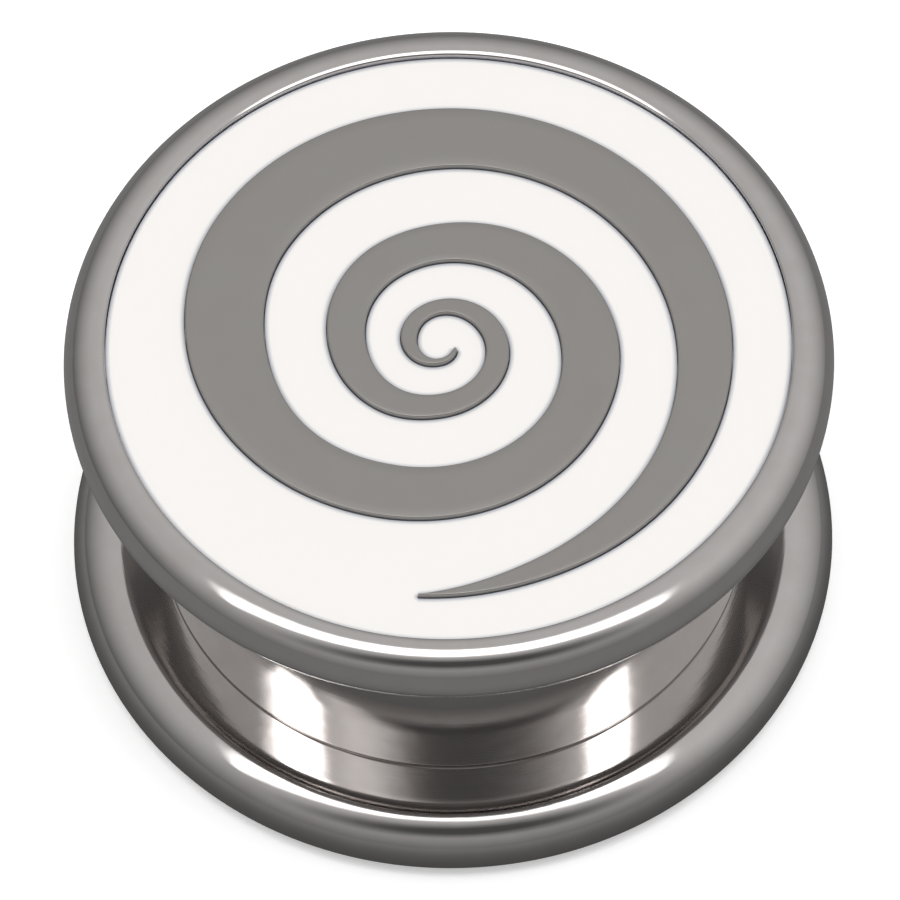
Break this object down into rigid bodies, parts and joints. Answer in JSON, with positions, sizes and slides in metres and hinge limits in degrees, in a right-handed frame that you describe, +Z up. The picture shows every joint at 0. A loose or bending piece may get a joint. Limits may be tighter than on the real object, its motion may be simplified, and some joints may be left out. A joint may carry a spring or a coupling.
{
  "type": "ear gauge plug",
  "caption": "Round flat-faced ear plug: a short steel barrel between two wide rounded flanges, with a white enamel face and a raised steel spiral that tapers at both ends.",
  "frame": {"origin": "centre of the flat back, on the plug's axis, in the plane that the plug stands on", "axes": "+Z up along the plug's axis to the spiral face; -Y is the near side in the picture and +X its right"},
  "size_m": [0.0246, 0.0246, 0.0127],
  "materials": {
    "front_steel": "turned and polished to a near mirror",
    "white_enamel": "glossy white enamel, ground level",
    "back_steel": "turned and polished to a near mirror"
  },
  "bodies": {
    "back": {"back_half": "back_steel"},
    "front": {"front_half": "front_steel", "enamel_inlay": "white_enamel"}
  },
  "joints": [
    {"name": "front_unscrews", "type": "slide", "parent": "back", "child": "front", "axis": [0, 0, 1], "range_m": [0, 0.016]}
  ]
}
